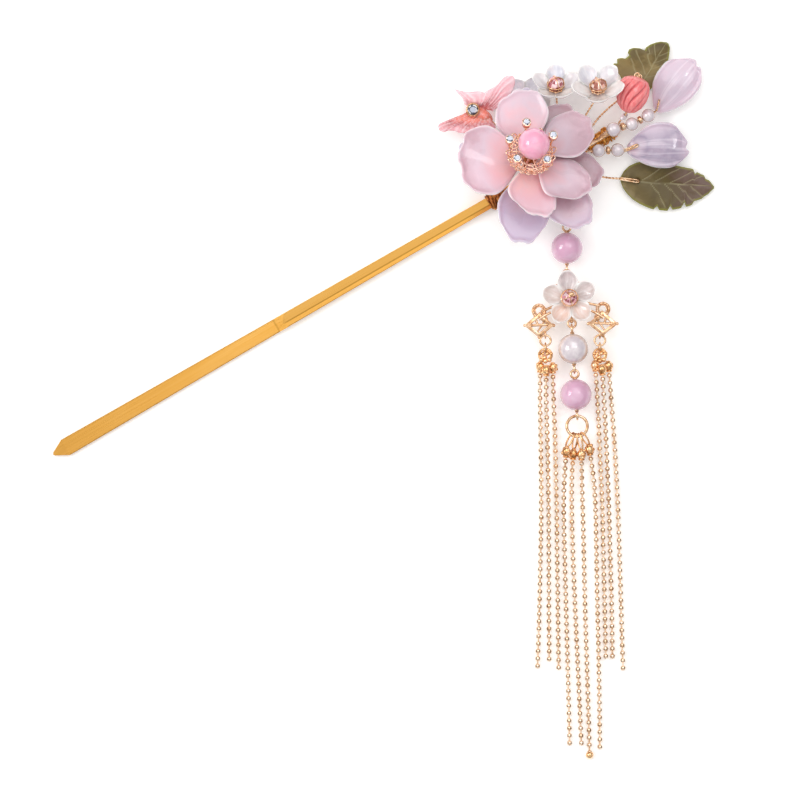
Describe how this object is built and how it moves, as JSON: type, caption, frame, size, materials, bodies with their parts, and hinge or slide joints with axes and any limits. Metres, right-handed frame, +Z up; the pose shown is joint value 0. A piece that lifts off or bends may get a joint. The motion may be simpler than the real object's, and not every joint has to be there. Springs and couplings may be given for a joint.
{
  "type": "kanzashi hairpin",
  "caption": "Long gold hair stick with a resin blossom, butterfly, leaves, buds and pearls at its head, and a beaded drop with a ball-chain tassel, lying flat.",
  "frame": {"origin": "on the stick's flat underside, on its centre line under the blossom, where the tassel's cross line meets it", "axes": "+Z up from the surface the hairpin lies on, towards its decorated face; +Y along the tassel, from its ends towards the blossom; the stick lies in the XY plane with its head 30 degrees from +X towards +Y"},
  "size_m": [0.1683, 0.1817, 0.0231],
  "materials": {
    "polished_gold": "polished gold plating",
    "gold_filigree": "bright gold plating",
    "gold_wire": "bright gold-plated wire",
    "copper_wire": "copper-toned wire",
    "ball_chain": "bright rose-gold chain",
    "blush_resin": "translucent glossy resin",
    "grey_lavender_resin": "translucent glossy resin",
    "lavender_resin": "translucent satin resin",
    "olive_resin": "translucent satin resin",
    "pink_resin": "translucent satin resin",
    "coral_resin": "satin resin",
    "shell": "pearly shell",
    "crystal": "faceted clear crystal",
    "clear_stone": "faceted clear stone",
    "pink_bead": "polished jade-like glass",
    "mauve_bead": "polished jade-like glass",
    "pearl": "pearly"
  },
  "bodies": {
    "root": {"hair_stick": "polished_gold", "binding_wire": "copper_wire", "stem_wires": "gold_wire", "flower_base": "gold_filigree", "front_petal_top": "blush_resin", "front_petal_left": "blush_resin", "front_petal_bottom": "blush_resin", "front_petal_low_right": "blush_resin", "front_petal_up_right": "blush_resin", "back_petal_top": "grey_lavender_resin", "back_petal_left": "grey_lavender_resin", "back_petal_bottom": "grey_lavender_resin", "back_petal_low_right": "grey_lavender_resin", "back_petal_right": "grey_lavender_resin", "back_petal_up_right": "grey_lavender_resin", "stamen_cup": "gold_filigree", "stamen_stones": "clear_stone", "centre_bead": "pink_bead", "butterfly_wings": "pink_resin", "butterfly_setting": "gold_filigree", "butterfly_stone": "clear_stone", "shell_flower_left": "shell", "shell_flower_middle": "shell", "shell_flower_right": "shell", "shell_crystal_middle": "crystal", "shell_crystal_right": "crystal", "coral_bud": "coral_resin", "leaf_upper": "olive_resin", "leaf_lower": "olive_resin", "lavender_petal_upper": "lavender_resin", "lavender_petal_lower": "lavender_resin", "pearl_1": "pearl", "pearl_2": "pearl", "pearl_3": "pearl", "pearl_4": "pearl", "pearl_5": "pearl", "bud_pearl": "pearl", "pearl_spacers": "gold_filigree", "drop_hanger": "gold_wire", "drop_bead_top": "mauve_bead", "drop_pins": "gold_wire", "drop_connector": "gold_filigree", "shell_flower_drop": "shell", "shell_crystal_drop": "crystal", "drop_pearl": "pearl", "drop_bead_low": "mauve_bead", "side_links_left": "gold_wire", "side_links_right": "gold_wire", "tassel_ring": "gold_wire", "tassel_links": "gold_wire", "strand_01": "ball_chain", "strand_02": "ball_chain", "strand_03": "ball_chain", "strand_04": "ball_chain", "strand_05": "ball_chain", "strand_06": "ball_chain", "strand_07": "ball_chain", "strand_08": "ball_chain", "strand_09": "ball_chain", "strand_10": "ball_chain"}
  },
  "joints": []
}
